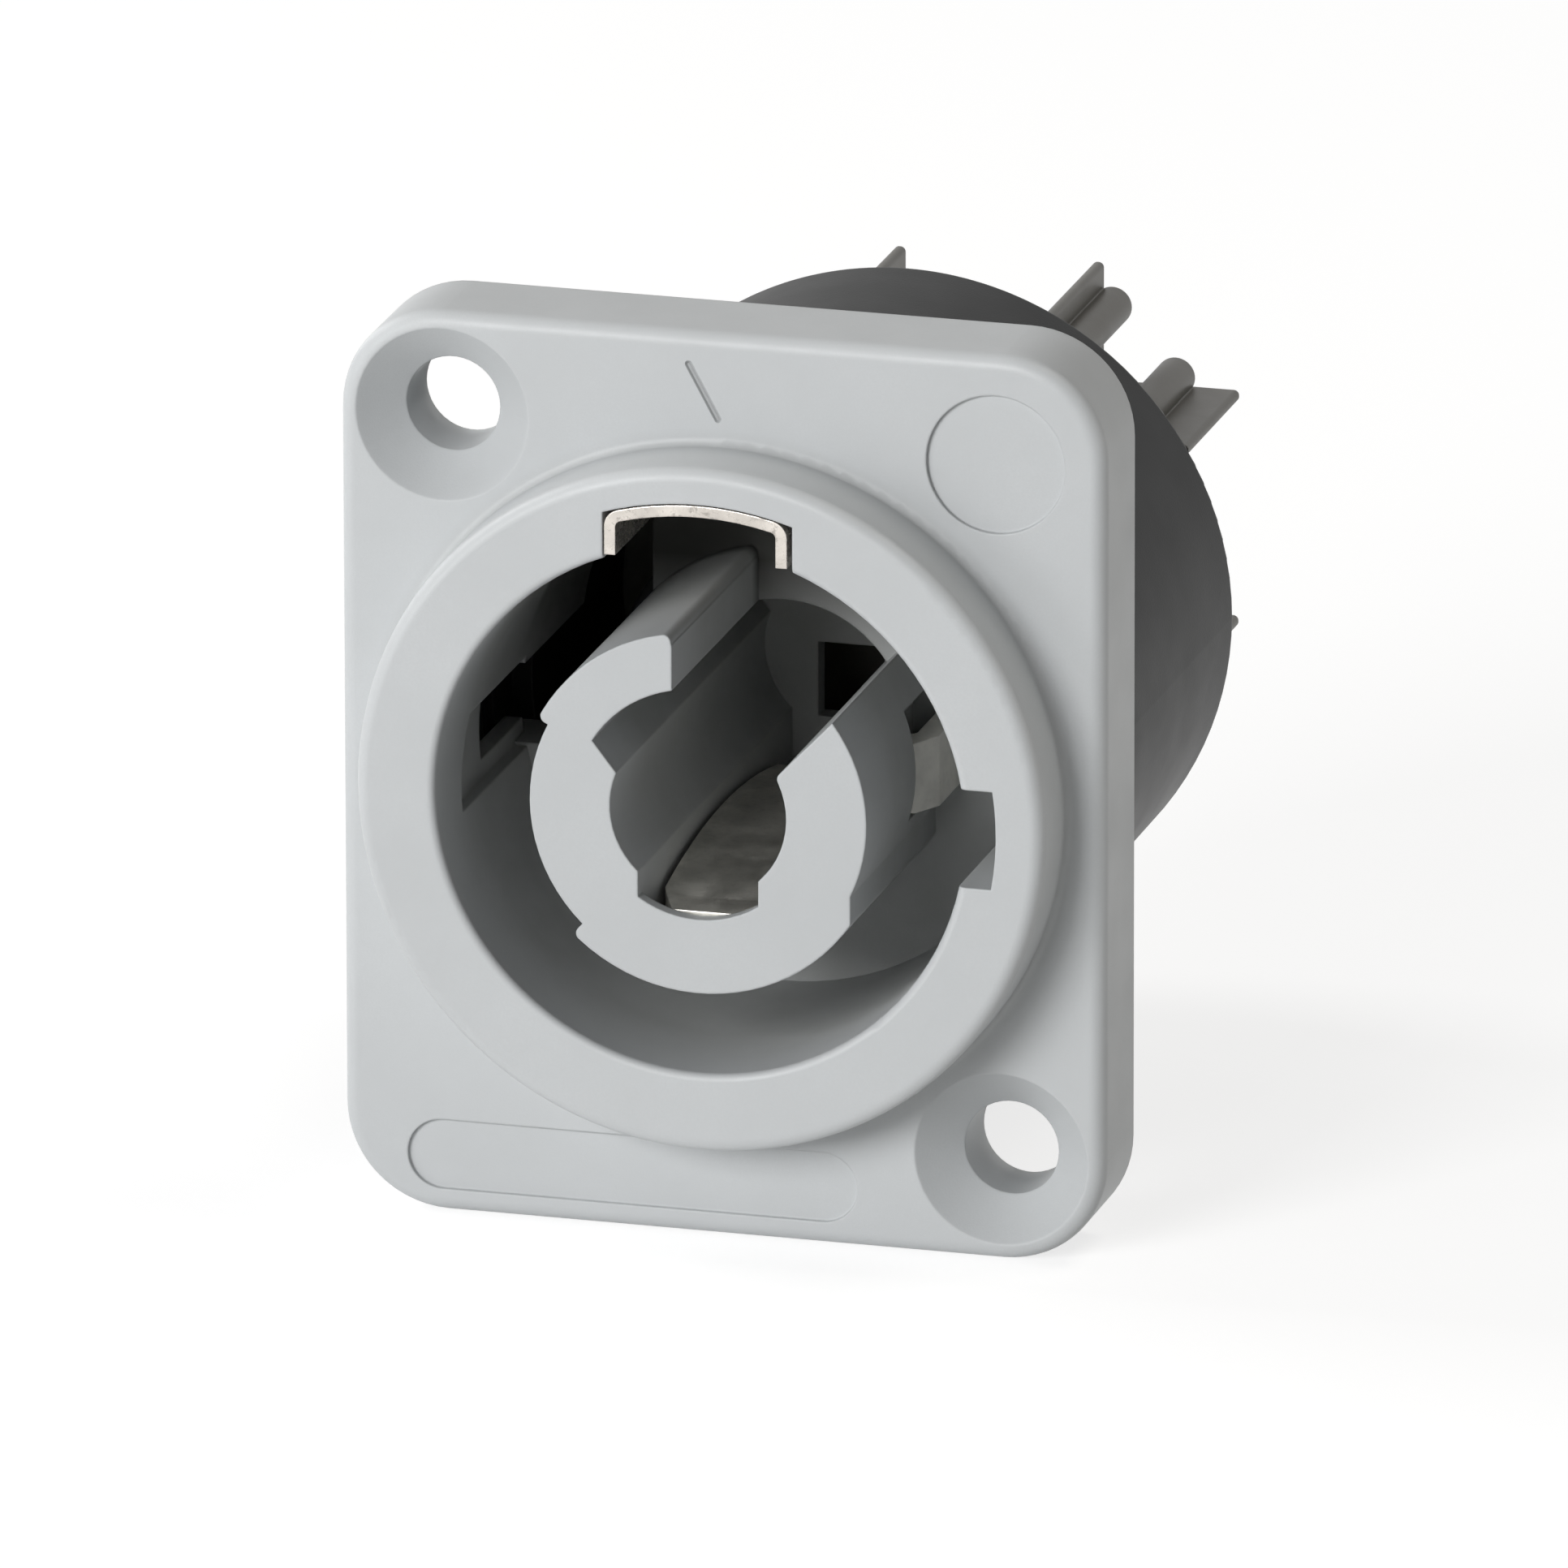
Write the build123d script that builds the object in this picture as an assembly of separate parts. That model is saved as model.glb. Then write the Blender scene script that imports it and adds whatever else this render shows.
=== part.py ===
from build123d import *
from math import atan2, cos, hypot, radians, sin, tan
import os

# Panel mount power receptacle.
# Frame: X to the right as seen from the front, Z up, the front faces -Y.
# Y = 0 is the flange face that seats on the panel, and the Y axis is the socket's axis.
# All sizes are in millimetres.

# Flange, as its margins beside and above the ring
flange_side = 1.3
flange_end = 3.8
flange_t = 3.7
flange_corner_r = 3.5
flange_edge_r = 0.5

# Panel screw holes, one top left and one bottom right
hole_dx = 19.0
hole_dz = 24.0
hole_r = 1.6
countersink_r = 2.95

# Shallow recesses in the flange face
mark_depth = 0.15
disc_x = 9.3
disc_z = 11.8
disc_r = 2.35
bar_z = -13.5
bar_r = 1.2
bar_x0 = -10.8
bar_x1 = 4.6

# Raised ring and socket
ring_wall = 2.7
ring_h = 2.85
ring_edge_r = 0.45
ring_base_r = 0.25
bore_r = 9.0
bore_edge_r = 0.25
socket_depth = 10.4

# Latch notch at the top of the socket
notch_w = 6.44
notch_rise = 1.52
notch_depth = 5.6

# Keyway on the right of the socket
key_w = 3.35
key_z = -0.13
key_rise = 1.1

# Recess in the left wall of the socket, its front edge slanted, and the lug slot in its middle
recess_rise = 0.4
recess_z0 = -1.6
recess_z1 = 1.5
recess_low_from_front = 2.88
recess_high_from_front = 3.85
lug_z0 = -1.0
lug_z1 = 0.97
lug_rise = 1.6
lug_from_front = 6.65

# Spigot that centres the flange in the panel cut-out, and the sleeve behind it
spigot_step = 0.55
spigot_len = 2.0
sleeve_wall = 1.0
sleeve_seat = 1.1
barb_h = 0.35
barb_root = 0.3
barb_len = 1.1
barb_w_deg = 16.0
barb_from_spigot = 0.9
seat_rise = 0.5
fit = 0.1
seam = 0.02

# Rear body
body_wall = 1.15
body_end = 19.15
body_edge_r = 0.3
collar_t = 1.4
septum_t = 2.0
rear_wall = 1.85
block_seat = 1.95

# Well that carries the bore on behind the socket, with a slot in its end wall
well_r = 5.0
well_half_w = 4.0
well_len = 8.15
well_end_t = 0.8
well_end_low = -3.9
well_slot_w = 2.3
well_slot_z0 = -2.4
well_slot_z1 = 0.2

# Opening through the socket floor at the upper left of the core, and the wall beside it
vent_right_x = -4.5
vent_low_z = -1.5
vent_rim = 0.4
tongue_t = 0.3
tongue_len = 7.0
tongue_low_z = 1.25

# Centre core
lobe_r = 6.2
upper_lobe_r = 6.1
core_r = 5.72
core_bore_r = 3.0
upper_key_r = 4.2
lower_key_r = 3.68
lower_key_w = 4.1
slot_left_x = -0.88
slot_right_deg = 28.2
slot_wall_deg = 46.5
upper_lobe_a0 = 99.0
upper_lobe_a1 = 153.0
lower_lobe_a0 = 226.5
lower_lobe_side_x = 5.17
upper_key_x = -2.8
upper_key_z = 1.15
upper_key_deg = 128.0
core_corner_r = 0.25

# Contact window in the side of the core
window_from_front = 6.0
window_z0 = -1.63
window_z1 = 2.1

# Contacts
sheet_t = 0.8
strip_w = 2.4
strip_z = -0.35
strip_x = 5.7
hidden_x = 5.15
strip_dip = 0.8
strip_ramp = 1.45
strip_corner_r = 0.48
earth_room = 0.2
earth_tip_w = 2.1
earth_taper = 1.95
earth_low_z = -3.58
earth_flat = 1.55
earth_crest_z = -2.73
earth_crest_from_front = 9.55
earth_drop_from_septum = 1.25
earth_drop = 3.4
earth_from_front = 0.6
earth_step = 0.1
shoulder_w = 7.0
tab_w = 6.3
tab_past_guard = 0.9
tab_plane = 6.05
tab_hole_r = 0.85
tab_hole_back = 3.2
tab_bevel = 0.9
jog_from_septum = 0.6
jog_len = 1.8
bend_band = 3.2

# Terminal guard walls behind the body
guard_len = 6.55
guard_t = 0.4
guard_inner = 3.0
guard_floor_t = 0.5
guard_tip_r = 0.18
bead_r = 0.67

# Each chamber holds one tab between two guard walls.
# The mids are where the tabs stand across, the rooms are the gaps beside them,
# the reaches are the walls' outer ends and the beads stand on their outer faces.
top_mid = 1.3
top_room = 0.1
top_reach = 9.9
top_bead = 8.4
side_mid = 1.65
side_room = 0.6
side_reach = 9.65
side_bead = 7.45

# Latch clip
clip_t = 0.38
clip_len = 5.2
clip_leg = 1.95
clip_bend_r = 0.6
clip_left_gap = 0.04
clip_right_gap = 0.2
clip_top_gap = 0.06
clip_from_front = 0.05

# Radii and outlines that follow
ring_r = bore_r + ring_wall
flange_w = 2 * (ring_r + flange_side)
flange_h = 2 * (ring_r + flange_end)
notch_r = bore_r + notch_rise
key_r = bore_r + key_rise
recess_r = bore_r + recess_rise
lug_r = bore_r + lug_rise
sleeve_r = bore_r + sleeve_wall
seat_r = bore_r + seat_rise
tongue_r = bore_r + tongue_t
cup_r = sleeve_r + fit
body_r = cup_r + body_wall
rear_bore_r = body_r - rear_wall
spigot_r = body_r + spigot_step

# Levels along the axis
front_y = -(flange_t + ring_h)
floor_y = front_y + socket_depth
sleeve_end = floor_y + sleeve_seat
collar_end = sleeve_end + collar_t
septum_end = collar_end + septum_t
block_y = body_end - block_seat
guard_end = body_end + guard_len
tab_end = guard_end + tab_past_guard
window_y = front_y + window_from_front
well_y = floor_y + well_len
earth_y = front_y + earth_from_front
tongue_end = floor_y + tongue_len

# Spans of the chambers across their tabs
top_chamber = (top_mid - tab_w / 2 - top_room, top_mid + tab_w / 2 + top_room)
side_chamber = (side_mid - tab_w / 2 - side_room, side_mid + tab_w / 2 + side_room)


def prism(sketch, y0, y1):
    """A front view outline carried from y0 back to y1."""
    return extrude(Plane.XZ.offset(-y1) * sketch, y1 - y0)


def box(x0, x1, y0, y1, z0, z1):
    """A block between two corners."""
    middle = Pos((x0 + x1) / 2, (y0 + y1) / 2, (z0 + z1) / 2)
    return middle * Box(x1 - x0, y1 - y0, z1 - z0)


def polygon(*points):
    """A closed outline through the given points, left where it is drawn."""
    return make_face(Polyline(*points, close=True))


def polar(r, deg):
    """A point on a circle round the axis."""
    return (r * cos(radians(deg)), r * sin(radians(deg)))


def sector(r, a0, a1):
    """A slice of a disc between two angles."""
    far = 4 * r
    steps = [a0 + (a1 - a0) * i / 3 for i in range(4)]
    return Circle(r) & polygon((0, 0), *[polar(far, a) for a in steps])


def edges_at(part, y, r=None):
    """The edges that lie in the plane at depth y, with radius r if one is given."""
    found = part.edges().filter_by(lambda e: abs(e.bounding_box().min.Y - y) < 1e-4
                                   and abs(e.bounding_box().max.Y - y) < 1e-4)
    if r is not None:
        found = found.filter_by(lambda e: e.geom_type == GeomType.CIRCLE and abs(e.radius - r) < 1e-4)
    return found


# Front housing

def screw_places():
    """Centres of the two screw holes."""
    return [(-hole_dx / 2, hole_dz / 2), (hole_dx / 2, -hole_dz / 2)]


def screw_hole(x, z):
    """A through hole with a ninety degree countersink from the front."""
    face = Plane.XZ.offset(flange_t)
    shank = prism(Pos(x, z) * Circle(hole_r), -flange_t - 1, 1)
    sink = countersink_r - hole_r
    cone = Plane.XZ.offset(flange_t - sink) * Pos(x, z) * Cone(
        hole_r, countersink_r, sink, align=(Align.CENTER, Align.CENTER, Align.MIN))
    lead = face * Pos(x, z) * Cylinder(
        countersink_r, 1, align=(Align.CENTER, Align.CENTER, Align.MIN))
    return shank + cone + lead


def flange():
    """The flat rectangular flange with its rounded front edge."""
    outline = RectangleRounded(flange_w, flange_h, flange_corner_r)
    plate = prism(outline, -flange_t, 0)
    return fillet(edges_at(plate, -flange_t), min(flange_edge_r, flange_t / 3))


def face_recesses():
    """The shallow round and bar shaped recesses in the flange face."""
    disc = Pos(disc_x, disc_z) * Circle(disc_r)
    length = bar_x1 - bar_x0
    bar = Pos((bar_x0 + bar_x1) / 2, bar_z) * SlotOverall(length, 2 * bar_r)
    y0 = -flange_t - 1
    y1 = -flange_t + mark_depth
    return prism(disc, y0, y1) + prism(bar, y0, y1)


def notch():
    """The latch notch, with straight sides and an arched top."""
    tall = Pos(0, notch_r) * Rectangle(notch_w, 2 * notch_r)
    return prism(Circle(notch_r) & tall, front_y - 1, front_y + notch_depth)


def keyway(width, reach, y0, y1):
    """The keyway at the right of the socket, as wide and as far out as asked."""
    run = Pos(reach / 2, key_z) * Rectangle(reach, width)
    return prism(Circle(reach) & run, y0, y1)


def lug_recess():
    """The shallow recess in the left wall, with its slanted front edge."""
    low_y = front_y + recess_low_from_front
    high_y = front_y + recess_high_from_front
    end_y = sleeve_end + 1
    side = polygon((low_y, recess_z0), (high_y, recess_z1), (end_y, recess_z1), (end_y, recess_z0))
    sweep = extrude(Plane.YZ.offset(-recess_r - 1) * side, recess_r)
    return prism(Circle(recess_r), front_y, end_y) & sweep


def lug_slot():
    """The slot in the left wall where the plug's lug turns in, open at the rear."""
    band = Pos(-lug_r / 2, (lug_z0 + lug_z1) / 2) * Rectangle(lug_r, lug_z1 - lug_z0)
    return prism(Circle(lug_r) & band, front_y + lug_from_front, sleeve_end + 1)


def vent_corner(grow=0.0):
    """The upper left region that the floor's opening takes up, grown by a margin."""
    x1 = vent_right_x + grow
    z0 = vent_low_z - grow
    far = 2 * body_r
    return Pos((x1 - far) / 2, (z0 + far) / 2) * Rectangle(x1 + far, far - z0)


def tongue():
    """The thin wall that carries the socket's wall on behind the floor's opening."""
    above = Pos(0, tongue_low_z + body_r) * Rectangle(4 * body_r, 2 * body_r)
    arc = (Circle(tongue_r) - Circle(bore_r)) & vent_corner(-seam) & above
    return prism(arc, floor_y, tongue_end)


def barbs():
    """Four snap barbs on the outside of the sleeve."""
    y0 = spigot_len + barb_from_spigot
    wedge = polygon((sleeve_r - barb_root, y0), (sleeve_r + barb_h, y0),
                    (sleeve_r, y0 + barb_len), (sleeve_r - barb_root, y0 + barb_len))
    barb = revolve(wedge, Axis.Y, barb_w_deg)
    turned = Rot(0, barb_w_deg / 2, 0) * barb
    return [Rot(0, 45 + 90 * i, 0) * turned for i in range(4)]


def front_housing():
    """Flange, ring, socket wall, spigot and sleeve as one moulding."""
    ring = prism(Circle(ring_r), front_y, -flange_t)
    ring = fillet(edges_at(ring, front_y), min(ring_edge_r, ring_h / 3))
    body = flange() + ring
    root = edges_at(body, -flange_t, ring_r)
    body = fillet(root, ring_base_r)
    body += prism(Circle(spigot_r), 0, spigot_len)
    body += prism(Circle(sleeve_r), spigot_len, sleeve_end)
    for barb in barbs():
        body += barb
    body -= prism(Circle(bore_r), front_y - 1, sleeve_end + 1)
    body -= prism(Circle(seat_r) - vent_corner(-seam), floor_y, sleeve_end + 1)
    body = fillet(edges_at(body, front_y, bore_r), bore_edge_r)
    body -= notch()
    body -= keyway(key_w, key_r, front_y - 1, sleeve_end + 1)
    body -= lug_recess()
    body -= lug_slot()
    for x, z in screw_places():
        body -= screw_hole(x, z)
    body -= face_recesses()
    return body + tongue()


# Contact carrier

def core_outline():
    """The stepped round core with its open slot, seen from the front."""
    disc = Circle(core_r)
    disc += sector(upper_lobe_r, upper_lobe_a0, upper_lobe_a1)
    beside = Pos(lower_lobe_side_x - lobe_r, -lobe_r / 2) * Rectangle(2 * lobe_r, lobe_r)
    disc += sector(lobe_r, lower_lobe_a0, 360.0) & beside
    return disc - slot_outline()


def slot_outline():
    """The open slot at the upper right, from the bore out past the core."""
    top = 3 * lobe_r
    start = polar(core_bore_r, slot_right_deg)
    slope = tan(radians(slot_wall_deg))
    foot_x = start[0] - start[1] / slope
    top_x = start[0] + (top - start[1]) / slope
    return polygon((slot_left_x, 0), (slot_left_x, top), (top_x, top), (foot_x, 0))


def bore_outline():
    """The centre bore with its upper and lower keyways."""
    slope = tan(radians(upper_key_deg))
    foot_x = upper_key_x - upper_key_z / slope
    top_x = upper_key_x + (2 * lobe_r - upper_key_z) / slope
    upper = Circle(upper_key_r) & polygon((foot_x, 0), (top_x, 2 * lobe_r), (0, 2 * lobe_r), (0, 0))
    upper += Circle(upper_key_r) & slot_outline()
    low = Pos(0, -lower_key_r / 2) * Rectangle(lower_key_w, lower_key_r)
    lower = Circle(lower_key_r) & low
    return Circle(core_bore_r) + upper + lower


def corner_at(outline, x, z):
    """The corner of an outline that lies nearest to a point."""
    return outline.vertices().sort_by(lambda v: hypot(v.X - x, v.Y - z))[0]


def core_section():
    """The core with its bore and keyways seen from the front, its outer corners rounded."""
    section = core_outline() - bore_outline()
    slot_top = (upper_lobe_r ** 2 - slot_left_x ** 2) ** 0.5
    corners = [(slot_left_x, slot_top), polar(core_bore_r, slot_right_deg),
               polar(upper_lobe_r, upper_lobe_a1), polar(lobe_r, lower_lobe_a0)]
    for x, z in corners:
        section = fillet(corner_at(section, x, z), core_corner_r)
    return section


def strip_span():
    """The width of a side contact's strip, from its lower to its upper edge."""
    return strip_z - strip_w / 2, strip_z + strip_w / 2


def window_pocket(level):
    """A window in the right side of the core that shows a contact whose strip starts at a level."""
    inner = level - sheet_t / 2 - fit
    return box(inner, lobe_r + 1, window_y, floor_y, window_z0, window_z1)


def strip_passage(level, y0, y1, room):
    """Clearance for a side contact's strip at a level between two depths."""
    low, high = strip_span()
    return box(level - sheet_t / 2 - room, level + sheet_t / 2 + room, y0, y1, low - room, high + room)


def other_side(part):
    """The same piece on the left of the axis."""
    return mirror(part, Plane.YZ)


def earth_passage():
    """The channel below the bore for the earth contact, open below behind the septum."""
    half = lower_key_w / 2
    low = earth_low_z - sheet_t - fit
    top = -core_bore_r * 0.67
    channel = box(-half, half, earth_y - fit, septum_end, low, top)
    return channel + box(-half, half, septum_end, well_y, -well_r - 1, top)


def floor_opening():
    """The opening through the base beside the core, at the upper left."""
    return prism(vent_corner() - Circle(upper_lobe_r), floor_y - 1, collar_end + 1)


def well_outline(room=0.0):
    """The well behind the base seen from the front, grown by a clearance."""
    half = well_half_w + room
    return Circle(well_r + room) & Rectangle(2 * half, 4 * well_r)


def well_end():
    """The end wall of the well with its slot."""
    top = 2 * well_r
    above = Pos(0, (well_end_low + top) / 2) * Rectangle(2 * top, top - well_end_low)
    slot_mid = (well_slot_z0 + well_slot_z1) / 2
    slot = Pos(0, slot_mid) * Rectangle(well_slot_w, well_slot_z1 - well_slot_z0)
    return prism((well_outline() & above) - slot, well_y, well_y + well_end_t)


def contact_carrier():
    """The core, the base disc that closes the socket, and the well behind them."""
    core = prism(core_section(), front_y, floor_y)
    base = prism(Circle(seat_r - seam), floor_y, sleeve_end)
    base += keyway(key_w - 2 * seam, sleeve_r, floor_y, sleeve_end)
    base += prism(Circle(sleeve_r), sleeve_end, collar_end)
    base -= floor_opening()
    base += prism(well_outline(), collar_end, well_y)
    part = core + (base - prism(bore_outline(), floor_y - 1, well_y))
    part -= window_pocket(strip_x - strip_dip)
    part -= other_side(window_pocket(hidden_x))
    part -= strip_passage(strip_x, window_y, collar_end + 1, fit)
    part -= other_side(strip_passage(hidden_x, window_y, collar_end + 1, fit))
    return part - earth_passage() + well_end()


# Rear body

def rear_body():
    """The round black body: a cup for the sleeve, a wall across, and a rear bore."""
    tube = prism(Circle(body_r), spigot_len, body_end)
    tube = fillet(edges_at(tube, body_end), min(body_edge_r, block_seat / 4))
    tube -= prism(Circle(cup_r), spigot_len - 1, collar_end)
    groove_y = spigot_len + barb_from_spigot - fit
    groove = prism(Circle(cup_r + barb_h), groove_y, groove_y + barb_len + 2 * fit)
    tube -= groove
    tube -= prism(Circle(rear_bore_r), septum_end, body_end + 1)
    tube -= prism(Circle(cup_r), block_y, body_end + 1)
    y0 = collar_end - 1
    y1 = septum_end + 1
    tube -= strip_passage(strip_x, y0, y1, 2 * fit)
    tube -= other_side(strip_passage(hidden_x, y0, y1, 2 * fit))
    vent = (vent_corner(fit) & Circle(rear_bore_r)) - Circle(upper_lobe_r + vent_rim)
    return tube - prism(vent, y0, y1) - prism(well_outline(fit), y0, y1)


# Terminal block

def guard_wall(outer, bead_at, edge, side, start):
    """One guard wall: its edge faces the tab, side says which way its thickness goes."""
    u0, u1 = sorted((edge, edge + side * guard_t))
    wall = Pos((u0 + u1) / 2, (start + outer) / 2) * Rectangle(u1 - u0, outer - start)
    wall = fillet(wall.vertices().group_by(Axis.Y)[-1], min(guard_tip_r, 0.45 * guard_t))
    reach = edge + side * (guard_t + bead_r * 0.45)
    bead = Pos(reach, bead_at) * Circle(bead_r)
    return wall + bead


def chamber_walls(chamber, outer, bead_at, first, last):
    """Both walls of a chamber, drawn with the tab's width along x and outwards along z."""
    low, high = chamber
    walls = guard_wall(outer, bead_at, low, -1, first)
    walls += guard_wall(outer, bead_at, high, 1, last)
    return walls


def bridge(u0, u1):
    """The low wall that closes the inner end of a chamber."""
    middle = Pos((u0 + u1) / 2, guard_inner + guard_floor_t / 2)
    return middle * Rectangle(u1 - u0, guard_floor_t)


def guard_outline():
    """All guard walls, seen from the front: top, right and bottom chambers."""
    corner_x = top_chamber[1]
    corner_z = side_chamber[1]
    top = chamber_walls(top_chamber, top_reach, top_bead, guard_inner, corner_z)
    top += bridge(top_chamber[0] - guard_t, guard_inner + guard_floor_t)
    side = chamber_walls(side_chamber, side_reach, side_bead, guard_inner, corner_x)
    side += bridge(side_chamber[0] - guard_t, guard_inner + guard_floor_t)
    bottom = chamber_walls(top_chamber, top_reach, top_bead, guard_inner, guard_inner)
    bottom += bridge(top_chamber[0] - guard_t, top_chamber[1] + guard_t)
    swapped = mirror(side, Plane(origin=(0, 0, 0), z_dir=(1, -1, 0)))
    return top + swapped + Rot(0, 0, 180) * bottom


def tab_slots():
    """Slots for the three tabs through the block."""
    width = tab_w + 2 * fit
    thick = sheet_t + 2 * fit
    slots = Pos(top_mid, tab_plane) * Rectangle(width, thick)
    slots += Pos(tab_plane, side_mid) * Rectangle(thick, width)
    slots += Pos(-top_mid, -tab_plane) * Rectangle(width, thick)
    return slots


def terminal_block():
    """The disc in the rear end of the body, with the guard walls on it."""
    disc = prism(Circle(cup_r - fit), block_y, body_end)
    walls = prism(guard_outline(), body_end, guard_end)
    return disc + walls - prism(tab_slots(), block_y - 1, guard_end + 1)


# Contacts

def tab_outline(middle, y0):
    """A blade terminal seen flat: across is local x, the axis is local y."""
    half = tab_w / 2
    b = tab_bevel
    blade = polygon((middle - half, y0), (middle + half, y0), (middle + half, tab_end - b),
                    (middle + half - b, tab_end), (middle - half + b, tab_end),
                    (middle - half, tab_end - b))
    return blade - Pos(middle, tab_end - tab_hole_back) * Circle(tab_hole_r)


def shoulder(middle, y0):
    """The wide part that seats a tab against the terminal block."""
    return Pos(middle, (y0 + block_y) / 2) * Rectangle(shoulder_w, block_y - y0)


def sheet_between(upper, lower):
    """The side view of a sheet as (level, y), from its outer and inner faces, front to rear."""
    return polygon(*upper, *reversed(lower))


def side_strip_faces():
    """Outer and inner faces of a side contact as far as the septum: a tip that dips, then straight."""
    slant = atan2(strip_dip, strip_ramp)
    out = strip_x + sheet_t / 2
    start = window_y + fit
    upper = [(out - strip_dip, start), (out, start + strip_ramp)]
    tip = (out - strip_dip - sheet_t * cos(slant), start + sheet_t * sin(slant))
    bend = (out - sheet_t, start + strip_ramp + sheet_t * tan(slant / 2))
    return upper, [tip, bend]


def step_faces(level0, level1, y0, y1):
    """Outer and inner faces of a sheet that steps from one level to another and runs to the tab's end."""
    h = sheet_t / 2
    d = h * tan(atan2(level1 - level0, y1 - y0) / 2)
    upper = [(level0 + h, y0 - d), (level1 + h, y1 - d), (level1 + h, tab_end)]
    lower = [(level0 - h, y0 + d), (level1 - h, y1 + d), (level1 - h, tab_end)]
    return upper, lower


def across_x(sketch, size):
    """Stand a (level, y) side view in the X-Y plane and carry it along Z, both ways."""
    return extrude(Plane.XY * sketch, size, both=True)


def across_z(sketch, size):
    """Stand a (level, y) side view in the Z-Y plane and carry it along X, both ways."""
    plane = Plane(origin=(0, 0, 0), x_dir=(0, 0, 1), z_dir=(-1, 0, 0))
    return extrude(plane * sketch, size, both=True)


def strip_outline(end):
    """A side contact's strip seen flat, with rounded corners at its tip."""
    start = window_y + fit
    strip = Pos(strip_z, (start + end) / 2) * Rectangle(strip_w, end - start)
    return fillet(strip.vertices().group_by(Axis.Y)[0], min(strip_corner_r, 0.45 * strip_w))


def line_contact():
    """The right hand contact, from the window in the core to its tab."""
    outer, inner = side_strip_faces()
    jog = septum_end + jog_from_septum
    upper, lower = step_faces(strip_x, tab_plane, jog, jog + jog_len)
    side = sheet_between(outer + upper, inner + lower)
    flat = strip_outline(septum_end) + shoulder(side_mid, septum_end) + tab_outline(side_mid, block_y)
    return across_x(side, 20) & across_z(flat, 20)


def earth_arch():
    """The arched stretch of the earth contact: end points and crest as (level, y)."""
    flat_end = earth_y + earth_flat
    crest_y = front_y + earth_crest_from_front
    drop_y = septum_end + earth_drop_from_septum
    rise = earth_crest_z - earth_low_z
    r = ((crest_y - flat_end) ** 2 + rise ** 2) / (2 * rise)
    end_z = earth_crest_z - (r - (r ** 2 - (drop_y - crest_y) ** 2) ** 0.5)
    return (earth_low_z, flat_end), (earth_crest_z, crest_y), (end_z, drop_y), r


def earth_side():
    """Side view of the earth contact: flat tip, arch under the bore, drop to its tab."""
    flat_end, crest, arch_end, r = earth_arch()
    t = sheet_t
    drop_y = arch_end[1] + earth_drop
    tab_top = -tab_plane + t / 2
    centre = (crest[0] - r, crest[1])
    ends = []
    for grow in (0, -t):
        a = atan2(flat_end[0] - centre[0], flat_end[1] - centre[1])
        b = atan2(arch_end[0] - centre[0], arch_end[1] - centre[1])
        radius = r + grow
        points = [(centre[0] + radius * sin(a), centre[1] + radius * cos(a)),
                  (centre[0] + radius, centre[1]),
                  (centre[0] + radius * sin(b), centre[1] + radius * cos(b))]
        ends.append(points)
    upper, lower = ends
    outline = [
        Line((earth_low_z, earth_y), upper[0]),
        ThreePointArc(*upper),
        Polyline(upper[2], (tab_top, drop_y), (tab_top, tab_end), (tab_top - t, tab_end),
                 (tab_top - t, drop_y - t / 2), lower[2]),
        ThreePointArc(*reversed(lower)),
        Polyline(lower[0], (earth_low_z - t, earth_y), (earth_low_z, earth_y)),
    ]
    return make_face(outline)


def earth_contact():
    """The arched contact in the keyway below the bore, dropping to its tab."""
    drop_end = septum_end + earth_drop_from_septum + earth_drop
    half = lower_key_w / 2 - earth_room
    tip = earth_tip_w / 2
    leaf = polygon((-tip, earth_y), (tip, earth_y), (half, earth_y + earth_taper), (half, drop_end),
                   (-half, drop_end), (-half, earth_y + earth_taper))
    flat = leaf + shoulder(-top_mid, drop_end - earth_step) + tab_outline(-top_mid, block_y)
    return across_z(earth_side(), 20) & across_x(flat, 20)


def neutral_contact():
    """The left hand contact, bent over the top inside the body to reach its tab."""
    h = sheet_t / 2
    low = strip_span()[0]
    mid = top_mid
    far = mid + shoulder_w / 2
    x_out = -hidden_x - h
    angle = polygon((x_out, low), (x_out + sheet_t, low), (x_out + sheet_t, tab_plane - h),
                    (far, tab_plane - h), (far, tab_plane + h), (x_out, tab_plane + h))
    angle = fillet(angle.vertices().sort_by(lambda v: v.X - v.Y)[0], sheet_t)
    band_end = septum_end + bend_band
    part = prism(angle, septum_end, band_end)
    sheet = box(x_out, x_out + sheet_t, window_y, septum_end, low - 1, low + strip_w + 1)
    part += sheet & across_z(strip_outline(septum_end), 20)
    plate = box(mid - shoulder_w / 2, far, band_end, block_y, tab_plane - h, tab_plane + h)
    blade = Plane.XY.offset(tab_plane - h) * tab_outline(mid, block_y)
    return part + plate + extrude(blade, sheet_t)


# Latch clip

def latch_clip():
    """A strip bent into an upside-down U that lines the notch."""
    x0 = -notch_w / 2 + clip_left_gap
    x1 = notch_w / 2 - clip_right_gap
    middle = (x0 + x1) / 2
    outer_r = notch_r - clip_top_gap
    foot = notch_r - clip_leg
    outer = Circle(outer_r) & (Pos(middle, foot + notch_r / 2) * Rectangle(x1 - x0, notch_r))
    outer = fillet(outer.vertices().sort_by(Axis.Y)[-2:], clip_bend_r)
    inner_w = x1 - x0 - 2 * clip_t
    inner = Circle(outer_r - clip_t) & (
        Pos(middle, foot + notch_r / 2 - 1) * Rectangle(inner_w, notch_r + 2))
    inner = fillet(inner.vertices().sort_by(Axis.Y)[-2:], max(clip_bend_r - clip_t, 0.1))
    y0 = front_y + clip_from_front
    return prism(outer - inner, y0, y0 + clip_len)


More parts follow.
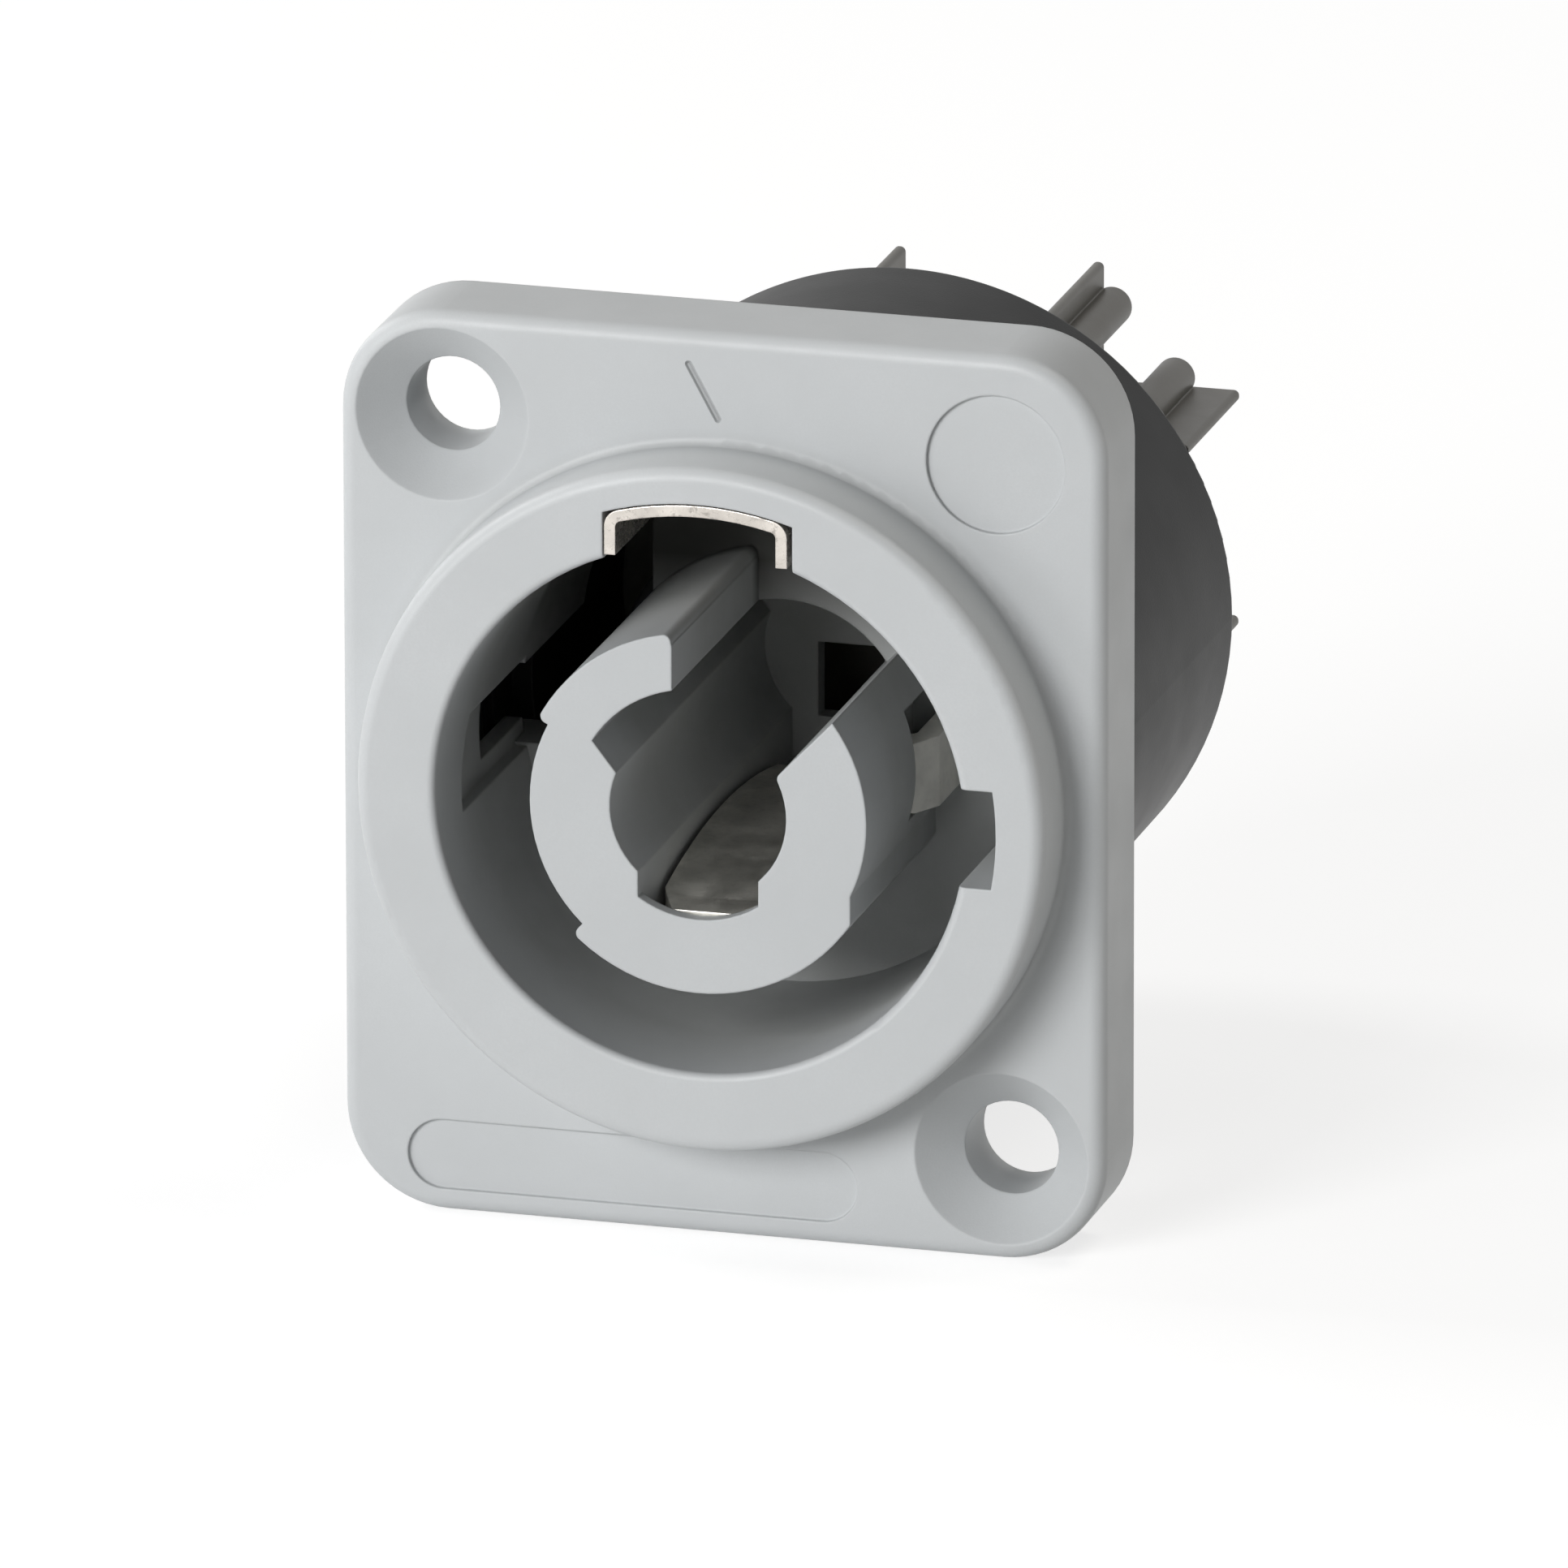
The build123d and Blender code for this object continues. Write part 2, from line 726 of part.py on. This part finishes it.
def solids():
    """Every piece with its file name."""
    return {
        "front_housing": front_housing(),
        "contact_carrier": contact_carrier(),
        "latch_clip": latch_clip(),
        "rear_body": rear_body(),
        "terminal_block": terminal_block(),
        "line_contact": line_contact(),
        "neutral_contact": neutral_contact(),
        "earth_contact": earth_contact(),
    }


os.makedirs("parts", exist_ok=True)
for name, part in solids().items():
    export_step(part, f"parts/{name}.step")
    corner = part.bounding_box()
    print(name, len(part.solids()), round(part.volume, 2), part.is_valid,
          [round(v, 2) for v in (*tuple(corner.min), *tuple(corner.max))])
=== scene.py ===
import bpy
from math import cos, radians, sin
from mathutils import Matrix, Vector


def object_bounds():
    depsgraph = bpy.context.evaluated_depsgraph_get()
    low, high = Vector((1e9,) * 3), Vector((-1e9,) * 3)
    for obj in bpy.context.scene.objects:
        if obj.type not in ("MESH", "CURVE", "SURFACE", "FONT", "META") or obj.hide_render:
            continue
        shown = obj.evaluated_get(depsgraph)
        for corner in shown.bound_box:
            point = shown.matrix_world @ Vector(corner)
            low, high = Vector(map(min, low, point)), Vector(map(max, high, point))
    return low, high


# Panel mount power receptacle: materials, light and camera.
# Metres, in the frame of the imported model: X right, Z up, the front faces -Y.

MM = 0.001

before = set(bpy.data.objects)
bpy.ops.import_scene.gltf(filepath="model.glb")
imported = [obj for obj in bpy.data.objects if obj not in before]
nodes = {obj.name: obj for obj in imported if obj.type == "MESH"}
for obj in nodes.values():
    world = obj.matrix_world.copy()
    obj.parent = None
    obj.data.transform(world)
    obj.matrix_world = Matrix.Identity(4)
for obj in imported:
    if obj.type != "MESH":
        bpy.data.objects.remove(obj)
packed_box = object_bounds()


# Camera

AZIMUTH = radians(15.85968)
ELEVATION = radians(17.58275)
ROLL = radians(-0.10031)
DISTANCE = 1000 * MM
SHIFT_RIGHT = 1.03157 * MM
SHIFT_UP = -0.96528 * MM
LENS = 698.368


def camera():
    """A long lens at the front, to the right of the axis and a little above."""
    back = Vector((sin(AZIMUTH) * cos(ELEVATION), -cos(AZIMUTH) * cos(ELEVATION), sin(ELEVATION)))
    level = (-back).cross(Vector((0, 0, 1))).normalized()
    upright = level.cross(-back)
    right = cos(ROLL) * level + sin(ROLL) * upright
    up = cos(ROLL) * upright - sin(ROLL) * level
    place = right * SHIFT_RIGHT + up * SHIFT_UP + back * DISTANCE
    data = bpy.data.cameras.new("camera")
    data.lens = LENS
    data.sensor_width = 36
    data.clip_start = 0.01
    data.clip_end = 20
    data.dof.use_dof = False
    cam = bpy.data.objects.new("camera", data)
    cam.matrix_world = Matrix((
        (right.x, up.x, back.x, place.x),
        (right.y, up.y, back.y, place.y),
        (right.z, up.z, back.z, place.z),
        (0, 0, 0, 1)))
    bpy.context.scene.collection.objects.link(cam)
    bpy.context.scene.camera = cam


# Node helpers

class Nodes:
    """Short names for making and joining the nodes of one material or world."""

    def __init__(self, owner, output="ShaderNodeOutputMaterial"):
        owner.use_nodes = True
        self.owner = owner
        self.tree = owner.node_tree
        self.tree.nodes.clear()
        self.out = self.add(output)
        self.place = None

    def add(self, kind, **settings):
        node = self.tree.nodes.new(kind)
        for key, value in settings.items():
            setattr(node, key, value)
        return node

    def join(self, source, target):
        self.tree.links.new(source, target)

    def put(self, socket, value):
        """Links an output, or sets a plain value."""
        if isinstance(value, bpy.types.NodeSocket):
            self.join(value, socket)
        else:
            socket.default_value = value

    def point(self):
        """The place on the part, in metres."""
        if self.place is None:
            self.place = self.add("ShaderNodeTexCoord").outputs["Object"]
        return self.place

    def noise(self, size_mm, detail=2.0, roughness=0.5, stretch=(1, 1, 1)):
        """Noise from 0 to 1 whose features are about size_mm across."""
        scale = self.add("ShaderNodeVectorMath", operation="MULTIPLY")
        self.join(self.point(), scale.inputs[0])
        scale.inputs[1].default_value = [s / (size_mm * MM) for s in stretch]
        node = self.add("ShaderNodeTexNoise")
        self.join(scale.outputs[0], node.inputs["Vector"])
        node.inputs["Scale"].default_value = 1.0
        node.inputs["Detail"].default_value = detail
        node.inputs["Roughness"].default_value = roughness
        return node.outputs["Fac"]

    def math(self, operation, *values):
        node = self.add("ShaderNodeMath", operation=operation)
        for socket, value in zip(node.inputs, values):
            self.put(socket, value)
        return node.outputs[0]

    def ramp(self, value, from_low, from_high, to_low, to_high):
        node = self.add("ShaderNodeMapRange")
        self.put(node.inputs["Value"], value)
        for key, number in (("From Min", from_low), ("From Max", from_high),
                            ("To Min", to_low), ("To Max", to_high)):
            node.inputs[key].default_value = number
        return node.outputs["Result"]

    def mix(self, amount, low, high):
        """A colour between two others."""
        node = self.add("ShaderNodeMix", data_type="RGBA")
        self.put(node.inputs[0], amount)
        self.put(node.inputs[6], low)
        self.put(node.inputs[7], high)
        return node.outputs[2]

    def rounded(self, radius_mm, samples=6):
        """A normal that rounds sharp edges off by a small radius."""
        node = self.add("ShaderNodeBevel", samples=samples)
        node.inputs["Radius"].default_value = radius_mm * MM
        return node.outputs[0]

    def edges(self, rounded, low, high):
        """Near 1 where a rounded normal leaves the true one, 0 on open surfaces."""
        true = self.add("ShaderNodeNewGeometry").outputs["Normal"]
        dot = self.add("ShaderNodeVectorMath", operation="DOT_PRODUCT")
        self.join(true, dot.inputs[0])
        self.join(rounded, dot.inputs[1])
        turn = self.math("SUBTRACT", 1.0, dot.outputs["Value"])
        return self.ramp(turn, low, high, 0.0, 1.0)

    def place_mm(self):
        """The three coordinates of the place, in millimetres."""
        split = self.add("ShaderNodeSeparateXYZ")
        self.join(self.point(), split.inputs[0])
        return [self.math("MULTIPLY", split.outputs[axis], 1 / MM) for axis in "XYZ"]

    def bump(self, height, depth_mm, strength, normal=None):
        node = self.add("ShaderNodeBump")
        node.inputs["Distance"].default_value = depth_mm * MM
        node.inputs["Strength"].default_value = strength
        self.put(node.inputs["Height"], height)
        if normal is not None:
            self.join(normal, node.inputs["Normal"])
        return node.outputs[0]

    def length(self, a, b):
        """The length of a run from its two sides."""
        return self.math("SQRT", self.math("ADD", self.math("MULTIPLY", a, a), self.math("MULTIPLY", b, b)))

    def shader(self, kind, **values):
        """A shader's output; keys use _ for a space."""
        node = self.add(kind)
        for key, value in values.items():
            self.put(node.inputs[key.replace("_", " ")], value)
        return node.outputs[0]

    def output(self, shader):
        self.join(shader, self.out.inputs["Surface"])
        return self.owner


def shade(colour, factor):
    """A colour made lighter or darker, with full alpha."""
    return [min(1.0, c * factor) for c in colour[:3]] + [1.0]


# Plastics

MOULDED_EDGE = 0.12
GRAIN = 0.07
GRAIN_DEPTH = 0.012
MARK_DEPTH = 0.09


def moulded(name, colour, rough, patchy=0.05, ior=1.5, wear=1.06, with_painted_shade=False, mark=None):
    """Satin moulded plastic: slow colour drift, spark-eroded grain and polished edges."""
    n = Nodes(bpy.data.materials.new(name))
    drift = n.noise(6.0, detail=3.0, roughness=0.6)
    fine = n.noise(GRAIN, detail=1.0)
    soft = n.rounded(MOULDED_EDGE)
    base = n.mix(n.ramp(drift, 0.3, 0.7, 0.0, 1.0), shade(colour, 0.965), shade(colour, 1.03))
    speck = n.ramp(fine, 0.35, 0.65, 0.0, 1.0)
    base = n.mix(n.math("MULTIPLY", speck, 0.5), base, shade(colour, 0.97))
    edge = n.math("MULTIPLY", n.edges(soft, 0.02, 0.3), n.ramp(n.noise(1.1), 0.35, 0.6, 0.25, 1.0))
    base = n.mix(edge, base, shade(colour, wear))
    normal = n.bump(fine, GRAIN_DEPTH, 0.25, soft)
    patch = n.noise(2.4, detail=3.0, roughness=0.55)
    roughness = n.math("SUBTRACT", n.ramp(patch, 0.3, 0.7, rough - patchy, rough + patchy),
                       n.math("MULTIPLY", edge, 0.06))
    # Painted shade inside the socket and at the ring's foot, which also makes these places rougher.
    if with_painted_shade:
        dull = 0.0
        for amount, tone in painted_socket_shade(n):
            base = n.mix(amount, base, tone)
            dull = n.math("MAXIMUM", dull, n.math("MULTIPLY", amount, 0.5))
        roughness = n.math("ADD", roughness, dull)
    if mark is not None:
        cut = mark(n)
        # The stroke's groove is also painted darker: painted shade in the groove.
        base = n.mix(n.math("MULTIPLY", cut, 0.6), base, shade(colour, 0.45))
        normal = n.bump(n.math("MULTIPLY", cut, -1.0), MARK_DEPTH, 1.0, normal)
    return n.output(n.shader("ShaderNodeBsdfPrincipled", Base_Color=base, Roughness=roughness,
                             Normal=normal, IOR=ior))


# Places of the painted shade and the mark, in millimetres
SOCKET_R = 10.8
SOCKET_RIM = -6.0
SOCKET_FLOOR = 3.8
RING_R = 11.7
FLANGE_FACE = -3.7
# Colour of the painted shade inside the socket and at the ring's foot.
RECESS_SHADE_COLOUR = (0.125, 0.117, 0.083, 1.0)
# Colour of the painted shadow on the floor under the notch.
NOTCH_SHADOW_COLOUR = (0.032, 0.032, 0.028, 1.0)


def painted_socket_shade(n):
    """Painted shade that darkens the socket's inside more with depth and the ring's foot, and a painted
    shadow on the floor under the notch.
    """
    x, y, z = n.place_mm()
    away = n.length(x, z)
    inside = n.math("LESS_THAN", away, SOCKET_R)
    # Painted shade that deepens with depth inside the socket.
    depth_shade = n.ramp(y, SOCKET_RIM, SOCKET_RIM + 3.5, 0.0, 0.27)
    # Painted shadow on the socket floor, darker towards the top, under the notch.
    bottom = n.ramp(y, SOCKET_FLOOR - 0.8, SOCKET_FLOOR, 0.0, 1.0)
    upper = n.ramp(z, 1.8, 5.5, 0.0, 0.92)
    notch_shadow = n.math("MULTIPLY", n.math("MULTIPLY", bottom, upper), inside)
    # Painted shade in the crease at the ring's foot, with random patches.
    foot = n.length(n.math("SUBTRACT", away, RING_R), n.math("SUBTRACT", y, FLANGE_FACE))
    line = n.ramp(foot, 0.1, 0.6, 0.1, 0.0)
    patchy = n.ramp(n.noise(1.7, detail=3.0), 0.3, 0.7, 0.85, 1.1)
    recess_shade = n.math("MULTIPLY", n.math("MAXIMUM", n.math("MULTIPLY", depth_shade, inside), line), patchy)
    return (recess_shade, RECESS_SHADE_COLOUR), (notch_shadow, NOTCH_SHADOW_COLOUR)


MARK_START = (-1.09, 14.4)
MARK_END = (-0.10, 12.59)
MARK_WIDTH = 0.21


def index_mark(n):
    """One short engraved stroke on the flange face above the notch, from 0 to 1 in its groove."""
    x, y, z = n.place_mm()
    run = (MARK_END[0] - MARK_START[0], MARK_END[1] - MARK_START[1])
    length = (run[0] ** 2 + run[1] ** 2) ** 0.5
    ux = run[0] / length
    uz = run[1] / length
    dx = n.math("SUBTRACT", x, MARK_START[0])
    dz = n.math("SUBTRACT", z, MARK_START[1])
    along = n.math("ADD", n.math("MULTIPLY", dx, ux), n.math("MULTIPLY", dz, uz))
    kept = n.math("MINIMUM", n.math("MAXIMUM", along, 0.0), length)
    gone_x = n.math("SUBTRACT", dx, n.math("MULTIPLY", kept, ux))
    gone_z = n.math("SUBTRACT", dz, n.math("MULTIPLY", kept, uz))
    away = n.length(gone_x, gone_z)
    groove = n.ramp(away, 0.2 * MARK_WIDTH, 0.6 * MARK_WIDTH, 1.0, 0.0)
    on_face = n.math("LESS_THAN", n.math("ABSOLUTE", n.math("SUBTRACT", y, FLANGE_FACE)), 0.05)
    return n.math("MULTIPLY", groove, on_face)


# Metals

SHEET_EDGE = 0.06
ROLLED_LINE = 0.06
ROLLED_ALONG_Y = (1, 0.08, 1)


def plated(name, colour, rough, worn, metal=1.0):
    """Nickel plated sheet: fine rolling lines, clouded sheen, dull spots and brighter edges."""
    n = Nodes(bpy.data.materials.new(name))
    cloud = n.noise(1.3, detail=4.0, roughness=0.6)
    lines = n.noise(ROLLED_LINE, detail=2.0, stretch=ROLLED_ALONG_Y)
    spots = n.ramp(n.noise(0.28, detail=3.0, roughness=0.65), 0.52, 0.66, 0.0, worn)
    soft = n.rounded(SHEET_EDGE)
    base = n.mix(n.ramp(cloud, 0.35, 0.65, 0.0, 1.0), shade(colour, 0.91), shade(colour, 1.04))
    base = n.mix(spots, base, shade(colour, 0.45))
    base = n.mix(n.math("MULTIPLY", n.edges(soft, 0.03, 0.4), 0.5), base, shade(colour, 1.15))
    normal = n.bump(lines, 0.004, 0.3, n.bump(cloud, 0.03, 0.4, soft))
    roughness = n.math("ADD", n.ramp(cloud, 0.3, 0.7, rough - 0.05, rough + 0.08),
                       n.math("MULTIPLY", spots, 0.3))
    return n.output(n.shader("ShaderNodeBsdfPrincipled", Base_Color=base, Metallic=metal,
                             Roughness=roughness, Normal=normal))


def dress(node, material):
    """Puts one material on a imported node."""
    mesh = nodes[node].data
    mesh.materials.clear()
    mesh.materials.append(material)


PALE_GREY = (0.515, 0.532, 0.541)
BLACK = (0.013, 0.0135, 0.0135)
DARK_GREY = (0.105, 0.100, 0.088)
NICKEL = (0.66, 0.62, 0.57)
PALE_NICKEL = (0.84, 0.82, 0.765)
# A paler copy of the contact nickel, painted lighter for the lit line contact.
LIT_CONTACT_NICKEL = (0.95, 0.93, 0.87)

# The housing and the carrier get painted shade inside the socket.
dress("front_housing", moulded("housing_plastic", PALE_GREY, 0.46, with_painted_shade=True, mark=index_mark))
dress("contact_carrier", moulded("carrier_plastic", PALE_GREY, 0.48, ior=1.38, with_painted_shade=True))
dress("rear_body", moulded("body_plastic", BLACK, 0.36, patchy=0.02, ior=1.16, wear=1.8))
dress("terminal_block", moulded("block_plastic", DARK_GREY, 0.45, wear=1.25))
dress("latch_clip", plated("clip_steel", NICKEL, 0.24, worn=0.95))
contact = plated("contact_metal", PALE_NICKEL, 0.42, worn=0.15)
dress("neutral_contact", contact)
dress("earth_contact", contact)
# The line contact gets a paler, less metallic copy of the contact metal: painted light, as that leaf is lit
# more.
dress("line_contact", plated("lit_contact_metal", LIT_CONTACT_NICKEL, 0.5, worn=0.1, metal=0.5))


# Floor, lamps and surroundings

WHITE = (1, 1, 1, 1)
FLOOR_HALF = 6.0
FLOOR_GAP = 0.02 * MM
FLOOR_COLOUR = (0.8, 0.8, 0.8, 1)
FLOOR_SHADOWED = (0.4, 0.4, 0.4, 1)
FLOOR_GLOW = 0.75
LAMP_DISTANCE = 0.6
WARM = (1.0, 0.97, 0.91)


def seen_directly(n):
    """1 where the camera, a reflection or a clear surface looks straight at this."""
    path = n.add("ShaderNodeLightPath")
    seen = n.math("MAXIMUM", path.outputs["Is Camera Ray"], path.outputs["Is Glossy Ray"])
    return n.math("MAXIMUM", seen, path.outputs["Is Transmission Ray"])


def floor(level):
    """A pale floor that shows nearly white and keeps a soft, faint shadow."""
    n = Nodes(bpy.data.materials.new("floor"))
    matt = n.shader("ShaderNodeBsdfDiffuse", Color=FLOOR_COLOUR)
    shown = n.add("ShaderNodeAddShader")
    n.join(n.shader("ShaderNodeBsdfDiffuse", Color=FLOOR_SHADOWED), shown.inputs[0])
    n.join(n.shader("ShaderNodeEmission", Color=WHITE, Strength=FLOOR_GLOW), shown.inputs[1])
    pick = n.add("ShaderNodeMixShader")
    for socket, value in zip(pick.inputs, (seen_directly(n), matt, shown.outputs[0])):
        n.join(value, socket)
    mesh = bpy.data.meshes.new("floor")
    corners = [(x * FLOOR_HALF, y * FLOOR_HALF, level) for x, y in ((-1, -1), (1, -1), (1, 1), (-1, 1))]
    mesh.from_pydata(corners, [], [(0, 1, 2, 3)])
    mesh.materials.append(n.output(pick.outputs[0]))
    obj = bpy.data.objects.new("floor", mesh)
    bpy.context.scene.collection.objects.link(obj)


def lamp(name, azimuth, elevation, power, size=0.2, colour=(1, 1, 1)):
    """A square soft box that faces the part, placed by its bearing from the front and its height."""
    flat = LAMP_DISTANCE * cos(radians(elevation))
    place = Vector((flat * sin(radians(azimuth)), -flat * cos(radians(azimuth)),
                    LAMP_DISTANCE * sin(radians(elevation))))
    data = bpy.data.lights.new(name, "AREA")
    data.shape = "SQUARE"
    data.size = size
    data.energy = power
    data.color = colour
    obj = bpy.data.objects.new(name, data)
    obj.location = place
    obj.rotation_euler = (-place).to_track_quat("-Z", "Y").to_euler()
    bpy.context.scene.collection.objects.link(obj)


def surroundings(strength):
    """Even white light all round, shown as white."""
    n = Nodes(bpy.data.worlds.new("surroundings"), "ShaderNodeOutputWorld")
    level = n.ramp(seen_directly(n), 0.0, 1.0, strength, 1.0)
    bpy.context.scene.world = n.output(n.shader("ShaderNodeBackground", Color=WHITE, Strength=level))


floor(packed_box[0].z - FLOOR_GAP)
surroundings(0.02)
lamp("key", -22, 20, 2.38, 0.25)
lamp("front", -5, 20, 0.32, 0.12)
lamp("left", -48, 3, 0.64)
lamp("left_side", -97, 34, 1.15)
lamp("right_high", 105, 65, 0.76, colour=WARM)
lamp("right_low", 104, 3, 0.36, colour=WARM)
lamp("rear", 235, 15, 0.5)
camera()
bpy.context.scene.view_settings.view_transform = "Standard"
